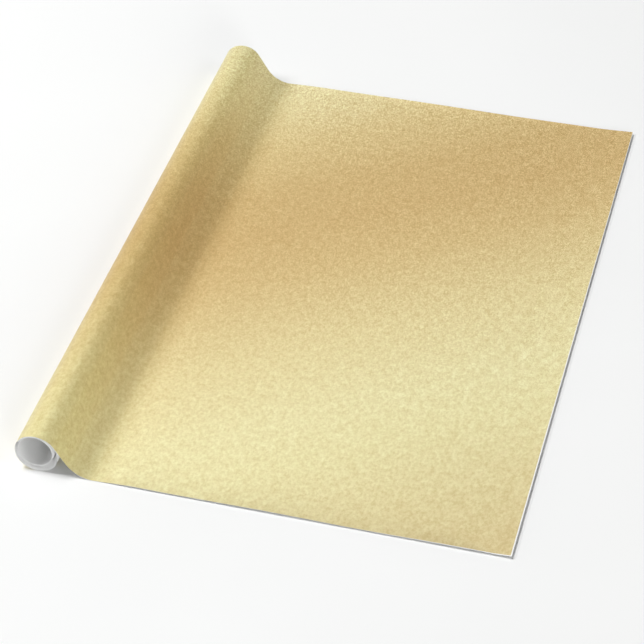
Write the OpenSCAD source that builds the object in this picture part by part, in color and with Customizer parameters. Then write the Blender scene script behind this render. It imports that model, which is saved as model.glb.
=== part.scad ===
// Roll of gift-wrapping paper, loosely wound on itself with no core tube. The loose end is drawn off over
// the top of the roll and laid flat. The paper has two plies: a white base and a gold face.
// X runs from the roll to the loose edge, Y along the roll, Z up.
// The origin is the centre of the footprint, on the surface that the paper lies on.

/* [Paper] */
// Width of the paper, which is also the length of the roll
paper_w = 762; // [300:1:1020]
// Thickness of the white base ply
base_t = 0.12; // [0.08:0.01:0.14]
// Thickness of the gold face ply
face_t = 0.03; // [0.02:0.01:0.04]
// Width of the strip along the loose edge that the gold leaves bare
bare_edge = 1.5; // [0.5:0.5:5]

/* [Coil] */
// Radius of the hollow through the coil
bore_r = 18.5; // [15:0.5:30]
// Turns that are wound tight, and turn as one
tight_turns = 7; // [2:1:8]
// Distance from one tight turn to the next
tight_pitch = 0.23; // [0.2:0.01:0.4]
// Slack turns around the tight ones, counting the outermost
slack_turns = 4; // [2:1:5]
// Distance from one slack turn to the next on the side where they lie close
close_pitch = 0.24; // [0.22:0.01:0.6]
// Distance from one slack turn to the next on the side where they hang open
open_pitch = 1.9; // [0.7:0.1:2.5]
// Direction of the open side, as an angle above the horizontal
open_side = -53; // [-70:1:-30]

/* [Lead-out] */
// Angle above the horizontal at which the paper leaves the roll
leave_angle = 31; // [25:1:40]
// Radius of the curve in which the paper meets the surface
foot_r = 34; // [20:1:36]

/* [Loose end] */
// Distance from the roll's axis to the loose edge
reach = 500.5; // [450:0.5:700]
// Strips of the loose end that lift one after another
lift_strips = 6; // [1:1:6]
// Length of each strip that lifts
strip_l = 40; // [20:5:50]

/* [Hidden] */
$fn = 96;
BASE_COLOR = "white";
FACE_COLOR = "#dcc68c";

turns = tight_turns + slack_turns;
paper_t = base_t + face_t;
// Gap that the tight turns need, to turn inside the slack ones
turning_gap = 0.1;
// Arc between the paper's inner cut edge and the place where the second turn begins
inner_cut = 20;
// The innermost turn steps in by little more than its own thickness, so the hollow stays round.
inner_step = paper_t + 0.02;
// Stretches that the foot is made in, and the flat facets in each
foot_parts = 4;
foot_steps = 4;

// Each half turn is a half circle between two points on one line, which runs through the coil's centre
// towards the open side. A turn starts on the open side, passes the close side and ends on the open
// side of the turn inside it. All these distances run from the coil's centre to the paper's white side.
tight_r = bore_r + (tight_turns - 1) * tight_pitch;
slack_start_r = tight_r + paper_t + turning_gap;
function close_r(k) = k <= tight_turns
    ? bore_r + (k - 1) * tight_pitch
    : slack_start_r + (k - tight_turns - 1) * close_pitch;
function open_r(k) = k <= tight_turns
    ? close_r(k)
    : slack_start_r + (k - tight_turns) * open_pitch;
function end_r(k) = k == 1
    ? bore_r - inner_step
    : k == tight_turns + 1 ? slack_start_r : open_r(k - 1);

// The outermost turn has the roll's axis as its centre until the paper leaves the roll.
outer_open_r = open_r(turns - 1) + close_pitch;
outer_r = (outer_open_r + close_r(turns)) / 2;
roll_r = outer_r + paper_t;
axis_shift = (outer_open_r - close_r(turns)) / 2;
leave_turn = leave_angle - open_side;

// The second half of the outermost turn has a centre of its own. It rests on the surface.
under_r = (close_r(turns) + end_r(turns)) / 2 + paper_t;
under_shift = axis_shift - (end_r(turns) - close_r(turns)) / 2;
axis_x = (under_r + under_shift * cos(open_side) - reach) / 2;
axis_z = under_r + under_shift * sin(open_side);
coil_x = axis_x - axis_shift * cos(open_side);
coil_z = axis_z - axis_shift * sin(open_side);

// The lead-out is a straight run, as long as the curve of its foot needs to meet the surface.
run_l = (axis_z - foot_r - paper_t + (roll_r + foot_r) * sin(leave_angle)) / cos(leave_angle);
foot_x = axis_x + (roll_r + foot_r) * cos(leave_angle) + run_l * sin(leave_angle);

edge_x = axis_x + reach;
lift_x = edge_x - lift_strips * strip_l;

// In the modules below, low and high are a ply's two sides, as heights above the paper's white side.

// A tube wall as long as the roll, with its axis along Z, over an angle that starts at X
module wall(inner_r, low, high, angle) {
    rotate_extrude(angle = angle)
        translate([inner_r + low, -paper_w / 2]) square([high - low, paper_w]);
}

// Half a turn, or less, which starts from_r to the right and would end to_r to the left
module half_turn(from_r, to_r, low, high, angle = 180) {
    translate([(from_r - to_r) / 2, 0]) wall((from_r + to_r) / 2, low, high, angle);
}

// Stands a shape that is drawn around Z on its side, around an axis along Y.
module laid_along_y(x, z, angle) {
    translate([x, 0, z]) rotate([90, 0, 0]) rotate(angle) children();
}

module turn_ply(k, low, high) {
    laid_along_y(coil_x, coil_z, open_side) {
        if (k < turns)
            half_turn(open_r(k), close_r(k), low, high);
        else
            mirror([0, 1, 0]) rotate(180)
                half_turn(close_r(k), outer_open_r, low, high, 180 - leave_turn);
        rotate(180)
            half_turn(close_r(k), end_r(k), low, high, k == 1 ? 180 - inner_cut : 180);
    }
}

module lead_out_ply(low, high) {
    laid_along_y(axis_x, axis_z, leave_angle)
        translate([outer_r + low, -run_l, -paper_w / 2]) cube([high - low, run_l, paper_w]);
}

// One side of a stretch of the foot. The stretches are counted from the lead-out down to the surface.
function foot_side(i, height) = [
    for (step = [0:foot_steps])
        let (r = foot_r + paper_t - height, a = (90 - leave_angle) * (i - 1 + step / foot_steps) / foot_parts)
            [roll_r + foot_r - r * cos(a), -run_l - r * sin(a)]
];

module foot_ply(i, low, high) {
    above = foot_side(i, high);
    laid_along_y(axis_x, axis_z, leave_angle) translate([0, 0, -paper_w / 2])
        linear_extrude(paper_w)
            polygon(concat(foot_side(i, low), [for (step = [foot_steps:-1:0]) above[step]]));
}

module flat_ply(from_x, to_x, low, high) {
    translate([from_x, -paper_w / 2, low]) cube([to_x - from_x, paper_w, high - low]);
}

module turn_base(k) {
    color(BASE_COLOR) turn_ply(k, 0, base_t);
}

module turn_face(k) {
    color(FACE_COLOR) turn_ply(k, base_t, paper_t);
}

module lead_out_base() {
    color(BASE_COLOR) lead_out_ply(0, base_t);
}

module lead_out_face() {
    color(FACE_COLOR) lead_out_ply(base_t, paper_t);
}

module foot_base(i) {
    color(BASE_COLOR) foot_ply(i, 0, base_t);
}

module foot_face(i) {
    color(FACE_COLOR) foot_ply(i, base_t, paper_t);
}

module sheet_base() {
    color(BASE_COLOR) flat_ply(foot_x, lift_x, 0, base_t);
}

module sheet_face() {
    color(FACE_COLOR) flat_ply(foot_x, lift_x, base_t, paper_t);
}

module loose_end_base(i) {
    start_x = lift_x + (i - 1) * strip_l;
    color(BASE_COLOR) flat_ply(start_x, start_x + strip_l, 0, base_t);
}

module loose_end_face(i) {
    start_x = lift_x + (i - 1) * strip_l;
    bare_l = i == lift_strips ? bare_edge : 0;
    color(FACE_COLOR) flat_ply(start_x, start_x + strip_l - bare_l, base_t, paper_t);
}

for (k = [1:turns]) {
    turn_base(k);
    turn_face(k);
}
lead_out_base();
lead_out_face();
for (i = [1:foot_parts]) {
    foot_base(i);
    foot_face(i);
}
sheet_base();
sheet_face();
for (i = [1:lift_strips]) {
    loose_end_base(i);
    loose_end_face(i);
}
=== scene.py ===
import math

import bpy
import numpy as np
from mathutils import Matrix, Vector


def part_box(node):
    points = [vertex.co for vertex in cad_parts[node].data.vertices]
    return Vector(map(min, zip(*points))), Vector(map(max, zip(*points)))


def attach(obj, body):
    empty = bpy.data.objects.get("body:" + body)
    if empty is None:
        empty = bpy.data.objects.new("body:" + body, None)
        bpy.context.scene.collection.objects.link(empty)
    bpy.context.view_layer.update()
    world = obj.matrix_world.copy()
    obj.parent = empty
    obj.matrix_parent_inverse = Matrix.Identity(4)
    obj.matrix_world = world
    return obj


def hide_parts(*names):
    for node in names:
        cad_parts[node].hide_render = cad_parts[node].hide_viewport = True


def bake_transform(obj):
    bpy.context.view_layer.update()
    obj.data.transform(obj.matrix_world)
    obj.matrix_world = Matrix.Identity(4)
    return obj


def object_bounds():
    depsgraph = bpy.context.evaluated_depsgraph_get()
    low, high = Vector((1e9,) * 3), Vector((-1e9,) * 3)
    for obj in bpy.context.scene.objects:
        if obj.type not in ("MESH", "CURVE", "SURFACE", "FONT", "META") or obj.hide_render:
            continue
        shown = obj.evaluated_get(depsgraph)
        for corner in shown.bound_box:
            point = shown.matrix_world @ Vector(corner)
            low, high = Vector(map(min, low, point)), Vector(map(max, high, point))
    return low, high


# The looks of a wrapping paper roll whose end is drawn off and laid flat. Everything is in metres, in
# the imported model's frame. The paper is one web: it starts in the middle of the coil, runs outwards
# clockwise as seen from -Y, leaves the coil on its +X side and lies flat as far as the loose edge. Each
# stretch of it is two pieces, a white base ply and a gold face ply, built on the same grid of points.
# A winding counts the turns from the start of the innermost one, and is whole on the coil's open side.

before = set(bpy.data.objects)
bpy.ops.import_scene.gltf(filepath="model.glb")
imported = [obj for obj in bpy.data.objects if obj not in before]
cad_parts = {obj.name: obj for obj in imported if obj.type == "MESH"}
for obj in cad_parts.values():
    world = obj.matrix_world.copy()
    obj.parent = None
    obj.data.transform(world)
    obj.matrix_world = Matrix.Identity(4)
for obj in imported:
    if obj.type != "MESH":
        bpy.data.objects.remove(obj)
cad_low, cad_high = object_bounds()

# the paper, as in the CAD source
BASE_T = 0.00012
PAPER_T = 0.00015
COIL = np.array([-0.240040, 0.0254786])
AXIS = np.array([-0.238469, 0.0233942])
OPEN_ANGLE = -53.0
LEAVE_ANGLE = 31.0
OPEN_SIDE = math.radians(OPEN_ANGLE)
LEAVE = math.radians(LEAVE_ANGLE)
OUTER_R = 0.02346
FOOT_R = 0.034
RUN_L = 0.0220675
TIGHT_TURNS = 7
BORE_R = 0.0185
TIGHT_PITCH = 0.00023
INNER_STEP = 0.00017
# the windings where the paper starts, where the outermost turn starts and where the paper leaves the roll
FIRST_CUT = 20.0 / 360.0
OUTERMOST = 10.0
SLACK_END = OUTERMOST + 0.5 + (180.0 + OPEN_ANGLE - LEAVE_ANGLE) / 360.0

# Distances from the coil's centre to each turn, where it starts on the open side and where it passes the
# close side. The slack turns 8 and 9 lie closer to the tight ones than in the CAD.
TIGHT_CLOSE = {k: BORE_R + (k - 1) * TIGHT_PITCH for k in range(1, TIGHT_TURNS + 1)}
TIGHT_OPEN = {0: BORE_R - INNER_STEP, **TIGHT_CLOSE}
SLACK_CLOSE = {8: 0.02013, 9: 0.02037, 10: 0.02061, 11: 0.02085}
SLACK_OPEN = {7: 0.02013, 8: 0.02100, 9: 0.02335, 10: 0.02583, 11: 0.02607}

FOOT_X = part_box("sheet_base")[0].x
EDGE_X = cad_high.x
HALF_W = cad_high.y
STRIPS = 6
LIFT_X = [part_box(f"loose_end_{i}_base")[0].x for i in range(1, STRIPS + 1)]
STRIP_L = LIFT_X[1] - LIFT_X[0]
# Each visible strip bends over a hinge in its middle, so it starts half a strip before that hinge. The
# first starts closer to its hinge, because the paper before a hinge dips a little when the end is lifted.
STRIP_X = [LIFT_X[0] - STRIP_L / 4, *(x - STRIP_L / 2 for x in LIFT_X[1:])]

# points along each turn, the straight run and the foot
TURN_STEPS = 96
RUN_STEPS = 12
FOOT_STEPS = 32
# The row of points where the gold starts. The rows before it are on the bare margin.
GOLD_ROW = 4
# the least width of that margin, and the length of the coil's flared ends
LEAST_BARE = 0.00005
FLARE_L = 0.009


def ramp(x, low, high):
    """0 below low, 1 above high, smooth between."""
    t = np.clip((x - low) / (high - low), 0, 1)
    return t * t * (3 - 2 * t)


# ---- the web's line, seen from -Y: points on its white side, and directions towards its gold side ----

def windings(start, end):
    """The winding of each point of the line between two windings."""
    return np.linspace(start, end, round((end - start) * TURN_STEPS) + 1)


def winding(start, end, open_r, close_r):
    """The line of the paper from winding start out to winding end, as half circles."""
    w = windings(start, end)
    half = np.minimum(np.floor(2 * w + 1e-9), math.ceil(2 * end - 1e-9) - 1).astype(int)
    turn = half // 2 + 1
    from_open = half % 2 == 0
    near = np.array([open_r[k - 1] if f else open_r[k] for k, f in zip(turn, from_open)])
    far = np.array([close_r[k] for k in turn])
    angle = OPEN_SIDE - 2 * math.pi * w
    out = np.stack([np.cos(angle), np.sin(angle)], 1)
    middle = np.outer((near - far) / 2, [math.cos(OPEN_SIDE), math.sin(OPEN_SIDE)])
    return COIL + middle + out * ((near + far) / 2)[:, None], out


def lead_out():
    """The straight run down from the roll, and the curve that lays the paper flat."""
    turn = np.array([[math.cos(LEAVE), -math.sin(LEAVE)], [math.sin(LEAVE), math.cos(LEAVE)]])
    drop = np.linspace(0, RUN_L, RUN_STEPS + 1)[1:]
    run = np.stack([np.full(RUN_STEPS, OUTER_R), -drop], 1)
    run_out = np.tile([1.0, 0.0], (RUN_STEPS, 1))
    a = np.linspace(0, math.pi / 2 - LEAVE, FOOT_STEPS + 1)[1:]
    inward = np.stack([np.cos(a), np.sin(a)], 1)
    centre = np.array([OUTER_R + PAPER_T + FOOT_R, -RUN_L])
    foot = centre - inward * (FOOT_R + PAPER_T)
    points = np.concatenate([run, foot]) @ turn.T + AXIS
    return points, np.concatenate([run_out, inward]) @ turn.T


def flat(start, end, count):
    """The line of the paper that lies flat, in count equal steps along X."""
    x = np.linspace(start, end, count + 1)
    points = np.stack([x, np.zeros_like(x)], 1)
    return points, np.tile([0.0, 1.0], (count + 1, 1))


def joined(*lines):
    return np.concatenate([p for p, _ in lines]), np.concatenate([n for _, n in lines])


# ---- the web's surface ----

def bare_near(x):
    """Width of the white along the flat paper's near edge, where the gold is printed slightly askew."""
    start_x, most = 0.10, 0.0011
    return LEAST_BARE + most * np.clip((x - start_x) / (EDGE_X - start_x), 0, 1)


def bare_coil(w):
    """Width of the white along the near edge inside the coil: the outermost turn is gold to its edge."""
    most = 0.014
    return LEAST_BARE + most * (1 - ramp(w, OUTERMOST, OUTERMOST + 0.1))


def bare_end(y):
    """Width of the white along the loose edge, which grows from the far corner to the near one."""
    return 0.0003 + 0.0010 * (HALF_W - y) / (2 * HALF_W)


def coil_shift(w):
    """How far the turns stand back at the near end, each a little further than the turn outside it."""
    slack_step, tight_step = 0.0003, 0.00005
    slack_turns = np.clip(OUTERMOST - w, 0, OUTERMOST - TIGHT_TURNS)
    tight_turns = np.clip(TIGHT_TURNS - w, 0, TIGHT_TURNS)
    return slack_step * slack_turns + tight_step * tight_turns


def coil_flare(w):
    """How far the paper spreads outwards at the coil's ends, around the open side at windings 8 and 9."""
    most = np.where(w < 8.5, 0.0041, 0.0021)
    return np.where((w > 7.5) & (w < 9.5), most * (1 + np.cos(2 * math.pi * w)) / 2, 0.0)


def rows_across(bare, shift):
    """The Y of each row of points, for columns whose near edge is bare and which are shifted along Y."""
    edge = np.array([0.0015, 0.003, 0.005, 0.008, 0.012, 0.018, 0.026, 0.036])
    inner = np.linspace(0.05, 2 * HALF_W - 0.05, 32)
    bare = bare[:, None]
    margin = bare * np.linspace(0, 1, GOLD_ROW + 1)
    rest = np.tile(np.concatenate([inner, 2 * HALF_W - edge[::-1], [2 * HALF_W]]), (len(bare), 1))
    return shift[:, None] - HALF_W + np.concatenate([margin, bare + edge, rest], 1)


def waves(x, y):
    """Slow, shallow waves of the paper on the floor."""
    return (
        0.40 * np.sin(21.0 * x + 6.0 * y + 0.4)
        + 0.35 * np.sin(9.0 * x - 17.0 * y + 2.1)
        + 0.25 * np.sin(34.0 * x + 23.0 * y + 4.0)
    )


def lift(x, y):
    """How far the flat paper's white side is off the floor, which is most along its edges."""
    side_rise, end_rise, wave_rise = 0.0021, 0.0034, 0.00012
    near_fade, far_fade, end_fade = 0.014, 0.008, 0.045
    ripple = 1 + 0.2 * np.sin(31.0 * x + 1.3)
    near = np.exp(-(y + HALF_W) / near_fade)
    far = 0.5 * np.exp(-(HALF_W - y) / far_fade)
    end = np.exp(-(EDGE_X - x) / end_fade)
    rise = np.maximum(side_rise * ripple * np.maximum(near, far), end_rise * end)
    return ramp(x, FOOT_X - 0.01, FOOT_X + 0.05) * (rise + wave_rise * (1 + waves(x, y)))


def surface(line, bare, shift=0.0, flare=0.0):
    """Grids of the white side's points and of the directions towards the gold side."""
    points, out = line
    y = rows_across(bare, np.broadcast_to(shift, bare.shape))
    spread = np.broadcast_to(flare, bare.shape)[:, None] * (1 - ramp(HALF_W - np.abs(y), 0, FLARE_L))
    x = np.tile(points[:, :1], (1, y.shape[1]))
    z = np.tile(points[:, 1:], (1, y.shape[1]))
    z = z + lift(x, y)
    nx = np.tile(out[:, :1], (1, y.shape[1]))
    nz = np.tile(out[:, 1:], (1, y.shape[1]))
    return np.stack([x + nx * spread, y, z + nz * spread], 2), np.stack([nx, np.zeros_like(nx), nz], 2)


def grid_faces(rows, cols):
    """Faces of a closed shell between two grids of rows x cols points, the upper one first."""
    i, j = np.meshgrid(np.arange(rows - 1), np.arange(cols - 1), indexing="ij")
    top = (i * cols + j).ravel()
    size = rows * cols
    up = np.stack([top, top + cols, top + cols + 1, top + 1], 1)
    down = up[:, ::-1] + size
    a = np.arange(rows - 1) * cols
    near = np.stack([a, a + size, a + cols + size, a + cols], 1)
    b = a + cols - 1
    far = np.stack([b + cols, b + cols + size, b + size, b], 1)
    c = np.arange(cols - 1)
    start = np.stack([c, c + 1, c + 1 + size, c + size], 1)
    d = c + (rows - 1) * cols
    end = np.stack([d + size, d + 1 + size, d + 1, d], 1)
    return np.concatenate([up, down, near, far, start, end])


def shell(name, grid, out, low, high, material):
    """A closed ply between heights low and high above the white side."""
    above = (grid + out * high).reshape(-1, 3)
    below = (grid + out * low).reshape(-1, 3)
    mesh = bpy.data.meshes.new(name)
    faces = grid_faces(grid.shape[0], grid.shape[1])
    mesh.from_pydata(np.concatenate([above, below]).tolist(), [], faces.tolist())
    mesh.shade_smooth()
    mesh.set_sharp_from_angle(angle=math.radians(40))
    mesh.materials.append(material)
    piece = bpy.data.objects.new(name, mesh)
    bpy.context.scene.collection.objects.link(piece)
    return piece


def plies(name, grid, out, bare=False):
    """The white and the gold ply of one stretch of the web. Bare leaves the gold off the last column."""
    white = shell(name + "_white", grid, out, 0, BASE_T, WHITE)
    gold_grid, gold_out = grid[:, GOLD_ROW:], out[:, GOLD_ROW:]
    if bare:
        gold_grid, gold_out = gold_grid[:-1], gold_out[:-1]
    gold = shell(name + "_gold", gold_grid, gold_out, BASE_T, PAPER_T, GOLD)
    return white, gold


# ---- materials ----

class Nodes:
    """A material's node tree, with short calls."""

    def __init__(self, name):
        self.material = bpy.data.materials.new(name)
        self.material.use_nodes = True
        self.tree = self.material.node_tree
        self.shader = self.tree.nodes["Principled BSDF"]

    def add(self, kind, inputs=None, **settings):
        node = self.tree.nodes.new(kind)
        for key, value in settings.items():
            setattr(node, key, value)
        for key, value in (inputs or {}).items():
            if isinstance(value, bpy.types.NodeSocket):
                self.tree.links.new(value, node.inputs[key])
            else:
                node.inputs[key].default_value = value
        return node

    def math(self, operation, a, b=0.0, c=0.0):
        return self.add("ShaderNodeMath", {0: a, 1: b, 2: c}, operation=operation).outputs[0]

    def multiply(self, a, b, factor=1.0):
        inputs = {"Fac": factor, "Color1": a, "Color2": b}
        return self.add("ShaderNodeMixRGB", inputs, blend_type="MULTIPLY").outputs[0]

    def noise(self, vector, scale, detail, roughness=0.5):
        inputs = {"Vector": vector, "Scale": scale, "Detail": detail, "Roughness": roughness}
        return self.add("ShaderNodeTexNoise", inputs).outputs["Fac"]

    def ramp(self, factor, stops):
        """The colour at factor, between stops of a position and a linear RGB colour."""
        node = self.add("ShaderNodeValToRGB", {"Fac": factor})
        elements = node.color_ramp.elements
        elements[0].position = stops[0][0]
        elements[1].position = stops[-1][0]
        for position, _ in stops[1:-1]:
            elements.new(position)
        for element, (_, color) in zip(elements, stops):
            element.color = (*color, 1.0)
        return node.outputs["Color"]

    def link(self, output, socket):
        self.tree.links.new(output, self.shader.inputs[socket])

    def relief(self, height, smooth, rough, strength, distance):
        """Roughness between smooth and rough, and a bump, which both follow a noise."""
        roughness = self.add("ShaderNodeMapRange", {"Value": height, "To Min": smooth, "To Max": rough})
        self.link(roughness.outputs[0], "Roughness")
        bump = self.add("ShaderNodeBump", {"Height": height, "Strength": strength, "Distance": distance})
        self.link(bump.outputs[0], "Normal")


def linear(r, g, b):
    """An sRGB colour of 0 to 255 as linear RGB."""
    def one(v):
        v = v / 255
        return v / 12.92 if v <= 0.04045 else ((v + 0.055) / 1.055) ** 2.4
    return one(r), one(g), one(b)


def gold_foil():
    """Satin foil paper with a fine mottle, a painted sheen of broad light and dark stripes across it, and
    painted shade over the roll and the curve down from it.
    """
    n = Nodes("gold_foil")
    place = n.add("ShaderNodeTexCoord").outputs["Object"]
    split = n.add("ShaderNodeSeparateXYZ", {0: place})
    from_roll = n.math("SUBTRACT", split.outputs["X"], float(AXIS[0]))

    # painted sheen: broad light and dark stripes askew across the whole paper, partly the foil's own
    # printed tone and partly painted reflection
    askew = n.math("ADD", split.outputs["Y"], n.math("MULTIPLY", from_roll, -0.7))
    band = n.math("DIVIDE", n.math("ADD", askew, 0.7), 1.1)
    painted_sheen_stops = [
        (0.00, (235, 219, 170)), (0.20, (253, 246, 196)), (0.27, (255, 248, 199)),
        (0.39, (250, 236, 184)), (0.53, (237, 211, 155)), (0.62, (231, 201, 144)),
        (0.70, (231, 202, 145)), (0.80, (241, 219, 164)), (0.90, (254, 242, 192)),
        (1.00, (255, 248, 203)),
    ]
    painted_sheen = n.ramp(band, [(position, linear(*color)) for position, color in painted_sheen_stops])

    # painted shade: the roll and the curve down from it are darker than the flat paper, and more yellow
    # on the roll's right slope, as far as the flat paper
    roll_shade_stops = [
        (0.06, (0.79, 0.785, 0.735)), (0.12, (0.88, 0.865, 0.78)), (0.23, (0.935, 0.935, 0.85)),
        (0.32, (0.89, 0.87, 0.73)), (0.45, (0.895, 0.865, 0.755)), (0.54, (0.87, 0.84, 0.74)),
        (0.66, (0.85, 0.83, 0.77)), (0.79, (0.965, 0.955, 0.94)), (0.88, (1.0, 1.0, 1.0)),
    ]
    painted_roll_shade = n.ramp(n.math("MULTIPLY_ADD", from_roll, 8.0, 0.2), roll_shade_stops)

    # the mottle: cells, wider patches, and fine specks that are strongest at the far end
    stretch = n.add("ShaderNodeMapping", {"Vector": place, "Scale": (1.0, 0.7, 1.0)}).outputs[0]
    cells = n.noise(stretch, 250.0, 4.0, roughness=0.78)
    shade = n.ramp(cells, [(0.36, (0.83, 0.785, 0.665)), (0.64, (0.99, 0.985, 0.975))])
    patches = n.noise(stretch, 105.0, 2.0)
    warmth = n.ramp(patches, [(0.35, (0.97, 0.955, 0.925)), (0.65, (1.015, 1.03, 1.03))])
    specks = n.noise(stretch, 1000.0, 1.0)
    speck = n.ramp(specks, [(0.36, (0.80, 0.72, 0.57)), (0.64, (1.20, 1.28, 1.43))])
    far = n.math("MULTIPLY_ADD", split.outputs["Y"], 1.5, 0.35)
    mottle = n.multiply(n.multiply(shade, warmth), speck, far)

    # the base colour carries the painted sheen and the painted shade of the roll, over the mottle
    n.link(n.multiply(n.multiply(painted_sheen, painted_roll_shade), mottle), "Base Color")
    n.shader.inputs["Metallic"].default_value = 0.25
    n.relief(cells, 0.42, 0.58, 0.15, 0.0003)
    return n.material


def white_paper():
    """Uncoated white paper: matt, with fine fibres."""
    n = Nodes("white_paper")
    place = n.add("ShaderNodeTexCoord").outputs["Object"]
    stretch = n.add("ShaderNodeMapping", {"Vector": place, "Scale": (1.0, 0.35, 1.0)}).outputs[0]
    fibres = n.noise(stretch, 1500.0, 3.0)
    clouds = n.noise(place, 45.0, 2.0)
    mixed = n.math("MULTIPLY_ADD", clouds, 0.5, n.math("MULTIPLY", fibres, 0.5))
    n.link(n.ramp(mixed, [(0.3, (0.87, 0.87, 0.86)), (0.7, (0.93, 0.93, 0.925))]), "Base Color")
    n.relief(fibres, 0.7, 0.95, 0.3, 0.0001)
    return n.material


def floor_white():
    n = Nodes("floor_white")
    place = n.add("ShaderNodeTexCoord").outputs["Object"]
    clouds = n.noise(place, 3.0, 2.0)
    n.link(n.ramp(clouds, [(0.3, (0.90, 0.905, 0.90)), (0.7, (0.92, 0.925, 0.92))]), "Base Color")
    n.shader.inputs["Roughness"].default_value = 0.9
    return n.material


GOLD = gold_foil()
WHITE = white_paper()


# ---- pieces ----

def replace_plies(pieces, *nodes):
    """Hides the base and the face ply of these CAD stretches."""
    for piece, ply in zip(pieces, ("base", "face")):
        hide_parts(*[f"{node}_{ply}" for node in nodes])


def tight_turn(k):
    """One turn of the tight middle of the coil."""
    start = FIRST_CUT if k == 1 else k - 1
    line = winding(start, k, TIGHT_OPEN, TIGHT_CLOSE)
    w = windings(start, k)
    grid, out = surface(line, bare_coil(w), coil_shift(w))
    pieces = plies(f"tight_turn_{k}", grid, out)
    for piece in pieces:
        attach(piece, f"turn_{k}")
    replace_plies(pieces, f"turn_{k}")


def paper_web():
    """The slack turns, the lead-out and the flat paper up to the loose end."""
    coil = winding(TIGHT_TURNS, SLACK_END, SLACK_OPEN, SLACK_CLOSE)
    points, out = flat(FOOT_X, STRIP_X[0], 60)
    line = joined(coil, lead_out(), (points[1:], out[1:]))
    w = windings(TIGHT_TURNS, SLACK_END)
    bare = bare_near(line[0][:, 0])
    bare[:len(w)] = bare_coil(w)
    shift, flare = np.zeros_like(bare), np.zeros_like(bare)
    shift[:len(w)], flare[:len(w)] = coil_shift(w), coil_flare(w)
    grid, out = surface(line, bare, shift, flare)
    pieces = plies("paper_web", grid, out)
    for piece in pieces:
        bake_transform(piece)
    turns = [f"turn_{k}" for k in range(8, 12)]
    foot = [f"foot_{i}" for i in range(1, 5)]
    replace_plies(pieces, *turns, "lead_out", *foot, "sheet")


def loose_end(i):
    """One of the strips that lift at the loose edge."""
    last = i == STRIPS
    start = STRIP_X[i - 1]
    end = EDGE_X if last else STRIP_X[i]
    if last:
        line = joined(flat(start, EDGE_X - 0.003, 27), flat(EDGE_X - 0.001, EDGE_X, 1))
    else:
        line = flat(start, end, 18)
    grid, out = surface(line, bare_near(line[0][:, 0]))
    if last:
        # The last column of points but one is where the gold ends.
        grid[-2, :, 0] = EDGE_X - bare_end(grid[-2, :, 1])
        grid[-2, :, 2] = lift(grid[-2, :, 0], grid[-2, :, 1])
    pieces = plies(f"loose_end_{i}", grid, out, bare=last)
    for piece in pieces:
        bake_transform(piece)
    replace_plies(pieces, f"loose_end_{i}")


# ---- the studio ----

LIGHT_AWAY = 7.0
# how far the camera looks below the horizon, and to the left of +Y
LOOK_DOWN = 0.68854527
LOOK_LEFT = 0.25995757


def add_floor():
    mesh = bpy.data.meshes.new("floor")
    half, z = 6.0, -0.0001
    corners = [(-half, -half, z), (half, -half, z), (half, half, z), (-half, half, z)]
    mesh.from_pydata(corners, [], [(0, 1, 2, 3)])
    mesh.materials.append(floor_white())
    floor = bpy.data.objects.new("floor", mesh)
    bpy.context.scene.collection.objects.link(floor)


def add_area(name, around, above, power):
    """A soft light on the object, from an angle around Z and an angle above the floor, in degrees."""
    data = bpy.data.lights.new(name, "AREA")
    data.shape = "SQUARE"
    data.size = 1.6
    data.energy = power
    light = bpy.data.objects.new(name, data)
    around, above = math.radians(around), math.radians(above)
    level = math.cos(above)
    direction = Vector((level * math.cos(around), level * math.sin(around), math.sin(above)))
    light.location = direction * LIGHT_AWAY
    light.rotation_euler = direction.to_track_quat("Z", "Y").to_euler()
    bpy.context.scene.collection.objects.link(light)


def add_light():
    """Soft lights, strongest from the left, and surroundings that are white to above the horizon."""
    add_area("left_high", 180, 65, 309)
    add_area("left_low", -171, 40, 126)
    add_area("front", -60, 15, 130)
    add_area("right", -20, 40, 55)
    add_area("back", 135, 65, 53)
    world = bpy.data.worlds.new("studio")
    bpy.context.scene.world = world
    world.use_nodes = True
    nodes, links = world.node_tree.nodes, world.node_tree.links
    split = nodes.new("ShaderNodeSeparateXYZ")
    links.new(nodes.new("ShaderNodeTexCoord").outputs["Generated"], split.inputs[0])
    fade = nodes.new("ShaderNodeMapRange")
    links.new(split.outputs["Z"], fade.inputs["Value"])
    fade.inputs["From Min"].default_value = 0.2
    fade.inputs["From Max"].default_value = 0.35
    fade.inputs["To Min"].default_value = 0.9
    fade.inputs["To Max"].default_value = 0.0
    background = nodes["Background"]
    background.inputs["Color"].default_value = (1.0, 1.0, 1.0, 1.0)
    links.new(fade.outputs[0], background.inputs["Strength"])


def add_camera():
    data = bpy.data.cameras.new("camera")
    data.lens = 131.47
    data.sensor_width = 36.0
    data.clip_end = 30.0
    camera = bpy.data.objects.new("camera", data)
    camera.location = (0.5059, -2.0320, 1.6701)
    camera.rotation_euler = (math.pi / 2 - LOOK_DOWN, 0, LOOK_LEFT)
    bpy.context.scene.collection.objects.link(camera)
    bpy.context.scene.camera = camera


add_camera()
add_floor()
add_light()
for k in range(1, TIGHT_TURNS + 1):
    tight_turn(k)
paper_web()
for i in range(1, STRIPS + 1):
    loose_end(i)

bpy.context.scene.view_settings.view_transform = "Standard"
